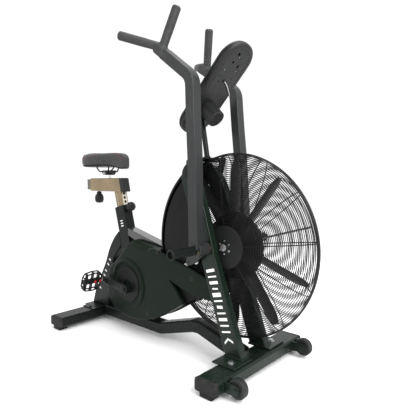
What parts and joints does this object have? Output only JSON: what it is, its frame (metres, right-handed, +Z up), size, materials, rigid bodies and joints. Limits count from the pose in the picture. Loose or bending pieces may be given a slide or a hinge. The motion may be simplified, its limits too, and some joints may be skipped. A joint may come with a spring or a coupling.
{
  "type": "air bike",
  "caption": "Fan-resistance exercise bike: wire drum fan between two front legs, swinging arms with paired grips, cranks and pedals under a moulded case, sliding saddle and a tilted console.",
  "frame": {"origin": "floor point under the centre of the machine", "axes": "+X toward the fan (forward), +Y to the rider's left, +Z up"},
  "size_m": [1.3078, 0.564, 1.3545],
  "materials": {
    "frame": "satin black powder coat",
    "foot_rubber": "matt",
    "wheel_rubber": "matt",
    "wire": "semi-gloss black",
    "shield": "dark satin",
    "hub": "satin",
    "steel": "zinc plated",
    "fan": "dark grey coat",
    "belt": "matt",
    "cover": "satin green-black",
    "pedal": "satin",
    "bronze": "plain bush",
    "arm": "satin dark grey",
    "grip": "fine matt",
    "console": "matt",
    "button": "matt",
    "cable": "plain",
    "tan": "tan bronze coat",
    "knob": "satin",
    "leather": "fine grain"
  },
  "bodies": {
    "frame": {"rear_stabilizer": "frame", "front_stabilizer": "frame", "rear_foot_right": "foot_rubber", "rear_foot_left": "foot_rubber", "front_foot_right": "foot_rubber", "front_foot_left": "foot_rubber", "bottom_rail": "frame", "rear_leg": "frame", "seat_tube": "frame", "top_tube": "frame", "bottom_bracket": "frame", "front_leg_right": "frame", "front_leg_left": "frame", "console_mast": "frame", "cage_rim": "wire", "grille_right": "wire", "grille_left": "wire", "windshield": "shield", "hub_plate_right": "hub", "hub_plate_left": "hub", "fan_axle": "steel", "drive_belt": "belt", "crank_bearing_right": "steel", "crank_bearing_left": "steel", "cover_right": "cover", "cover_left": "cover", "foot_peg_right": "frame", "foot_peg_left": "frame", "console_back": "console", "console_face": "console", "console_cable": "cable"},
    "transport_wheel_r": {"transport_wheel_right": "wheel_rubber"},
    "transport_wheel_l": {"transport_wheel_left": "wheel_rubber"},
    "fan": {"fan_rotor": "fan", "fan_pulley": "steel"},
    "crankset": {"crank_spindle": "steel", "drive_pulley": "steel", "crank_arm_right": "frame", "crank_arm_left": "frame"},
    "pedal_r": {"pedal_right": "pedal"},
    "pedal_l": {"pedal_left": "pedal"},
    "arm_r": {"swing_arm_right": "arm", "pivot_bush_right": "bronze", "upper_grip_right": "grip", "rear_grip_right": "grip"},
    "arm_l": {"swing_arm_left": "arm", "pivot_bush_left": "bronze", "upper_grip_left": "grip", "rear_grip_left": "grip"},
    "rod_r": {"link_rod_right": "steel"},
    "rod_l": {"link_rod_left": "steel"},
    "post": {"seat_post": "tan"},
    "seat": {"seat_slider": "steel", "saddle_clamp": "frame", "saddle": "leather"},
    "fore_aft_knob": {"slider_knob": "knob"},
    "pop_pin": {"height_knob": "knob"},
    "button_1": {"console_button_1": "button"},
    "button_2": {"console_button_2": "button"},
    "button_3": {"console_button_3": "button"}
  },
  "joints": [
    {"name": "fan_spin", "type": "hinge", "parent": "frame", "child": "fan", "pos_m": [0.304, 0, 0.458], "axis": [0, 1, 0], "continuous": true},
    {"name": "crank_spin", "type": "hinge", "parent": "frame", "child": "crankset", "pos_m": [-0.241, 0, 0.214], "axis": [0, 1, 0], "continuous": true},
    {"name": "right_pedal_spin", "type": "hinge", "parent": "crankset", "child": "pedal_r", "pos_m": [-0.40406, -0.17, 0.23924], "axis": [0, 1, 0], "continuous": true},
    {"name": "left_pedal_spin", "type": "hinge", "parent": "crankset", "child": "pedal_l", "pos_m": [-0.07794, 0.17, 0.18876], "axis": [0, 1, 0], "continuous": true},
    {"name": "right_arm_swing", "type": "hinge", "parent": "frame", "child": "arm_r", "pos_m": [0.25, -0.13, 0.455], "axis": [0, 1, 0], "range_deg": [-11, 11]},
    {"name": "left_arm_swing", "type": "hinge", "parent": "frame", "child": "arm_l", "pos_m": [0.25, 0.13, 0.455], "axis": [0, 1, 0], "range_deg": [-11, 11]},
    {"name": "right_rod_pivot", "type": "hinge", "parent": "arm_r", "child": "rod_r", "pos_m": [0.169, -0.066, 0.392], "axis": [0, 1, 0], "range_deg": [-11, 11]},
    {"name": "left_rod_pivot", "type": "hinge", "parent": "arm_l", "child": "rod_l", "pos_m": [0.17288, 0.066, 0.38731], "axis": [0, 1, 0], "range_deg": [-11, 11]},
    {"name": "right_transport_wheel_spin", "type": "hinge", "parent": "frame", "child": "transport_wheel_r", "pos_m": [0.485, -0.214, 0.044], "axis": [0, 1, 0], "continuous": true},
    {"name": "left_transport_wheel_spin", "type": "hinge", "parent": "frame", "child": "transport_wheel_l", "pos_m": [0.485, 0.214, 0.044], "axis": [0, 1, 0], "continuous": true},
    {"name": "seat_height_slide", "type": "slide", "parent": "frame", "child": "post", "axis": [-0.2504, 0, 0.9681], "range_m": [-0.05, 0.06]},
    {"name": "seat_fore_aft_slide", "type": "slide", "parent": "post", "child": "seat", "axis": [1, 0, 0], "range_m": [-0.035, 0.035]},
    {"name": "fore_aft_knob_turn", "type": "hinge", "parent": "post", "child": "fore_aft_knob", "pos_m": [-0.576, 0, 0.624], "axis": [0, 0, 1], "range_deg": [-180, 180]},
    {"name": "height_pin_pull", "type": "slide", "parent": "frame", "child": "pop_pin", "axis": [0.9681, 0, 0.2504], "range_m": [0, 0.008], "stiffness_N_per_m": 900, "springref_m": -0.006},
    {"name": "button_1_press", "type": "slide", "parent": "frame", "child": "button_1", "axis": [0.7071, 0, -0.7071], "range_m": [0, 0.002], "stiffness_N_per_m": 500, "springref_m": -0.0015},
    {"name": "button_2_press", "type": "slide", "parent": "frame", "child": "button_2", "axis": [0.7071, 0, -0.7071], "range_m": [0, 0.002], "stiffness_N_per_m": 500, "springref_m": -0.0015},
    {"name": "button_3_press", "type": "slide", "parent": "frame", "child": "button_3", "axis": [0.7071, 0, -0.7071], "range_m": [0, 0.002], "stiffness_N_per_m": 500, "springref_m": -0.0015}
  ],
  "couplings": [
    {"joint": "fan_spin", "follows": "crank_spin", "ratio": 4},
    {"joint": "left_arm_swing", "follows": "right_arm_swing", "ratio": -1},
    {"joint": "right_rod_pivot", "follows": "right_arm_swing", "ratio": -1},
    {"joint": "left_rod_pivot", "follows": "right_arm_swing", "ratio": 1}
  ]
}
